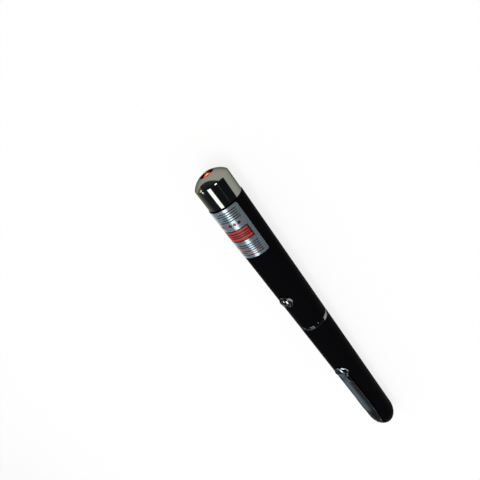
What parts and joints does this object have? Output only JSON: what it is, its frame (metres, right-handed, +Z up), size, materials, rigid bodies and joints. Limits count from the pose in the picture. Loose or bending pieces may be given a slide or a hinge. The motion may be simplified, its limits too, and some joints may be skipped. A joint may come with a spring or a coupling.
{
  "type": "laser pointer",
  "caption": "Pen-type laser pointer with a chromed nose, tapered black barrels that unscrew at a ring, a side push button and a chromed pocket clip.",
  "frame": {"origin": "on the surface that the pen lies on, under the middle of its length and width", "axes": "+X along the pen towards the nose where the light leaves, +Y across it, +Z up through the button"},
  "size_m": [0.1616, 0.0152, 0.0157],
  "materials": {
    "black_paint": "satin black paint",
    "chrome": "bright chrome plating",
    "silver_foil": "thin printed silver foil with plain coloured bands",
    "brass": "turned brass",
    "steel": "plated steel",
    "nickel": "nickel-plated contact",
    "lens_glass": "polished lens, lit red from behind",
    "board_laminate": "green solder mask on glass-fibre laminate",
    "chip_plastic": "moulded black epoxy",
    "coloured_plastic": "moulded blue nylon",
    "tray_plastic": "moulded black plastic",
    "cell_jacket_film": "plain shrink film"
  },
  "bodies": {
    "front_body": {"chrome_head": "chrome", "front_barrel": "black_paint", "foil_label": "silver_foil", "button_bezel": "chrome", "switch_body": "chip_plastic", "switch_cover": "steel", "diode_housing": "brass", "laser_diode": "steel", "lens_holder": "brass", "collimating_lens": "lens_glass", "lens_ring": "brass", "lens_spring": "steel", "circuit_board": "board_laminate", "driver_transistor": "chip_plastic", "current_trimmer": "coloured_plastic", "sense_resistor": "chip_plastic", "base_resistor": "chip_plastic", "smoothing_capacitor": "chip_plastic", "board_carrier": "tray_plastic", "contact_plate": "nickel", "contact_spring": "steel", "threaded_coupler": "brass", "centre_ring": "chrome"},
    "button": {"push_button": "chrome", "switch_plunger": "coloured_plastic"},
    "cell_column": {"front_cell_can": "steel", "front_cell_jacket": "cell_jacket_film", "rear_cell_can": "steel", "rear_cell_jacket": "cell_jacket_film"},
    "rear_body": {"rear_barrel": "black_paint", "tail_plug": "black_paint", "tail_contact": "nickel"},
    "clip": {"pocket_clip": "chrome"}
  },
  "joints": [
    {"name": "button_press", "type": "slide", "parent": "front_body", "child": "button", "axis": [0.0082, 0, -1], "range_m": [0, 0.0005], "stiffness_N_per_m": 3000},
    {"name": "barrel_travel", "type": "slide", "parent": "front_body", "child": "cell_column", "axis": [-1, 0, -0.0082], "range_m": [0, 0.0045], "deforming": ["contact_spring"]},
    {"name": "barrel_unscrew", "type": "hinge", "parent": "cell_column", "child": "rear_body", "pos_m": [0, 0, 0.00702], "axis": [-1, 0, -0.0082], "range_deg": [0, 2160]},
    {"name": "clip_flex", "type": "hinge", "parent": "rear_body", "child": "clip", "pos_m": [-0.07307, -0.00078, 0.01232], "axis": [0.0011, -0.9914, -0.1305], "range_deg": [0, 3], "stiffness_Nm_per_rad": 2}
  ],
  "couplings": [
    {"joint": "barrel_unscrew", "follows": "barrel_travel", "rad_per_m": 8377.6}
  ]
}
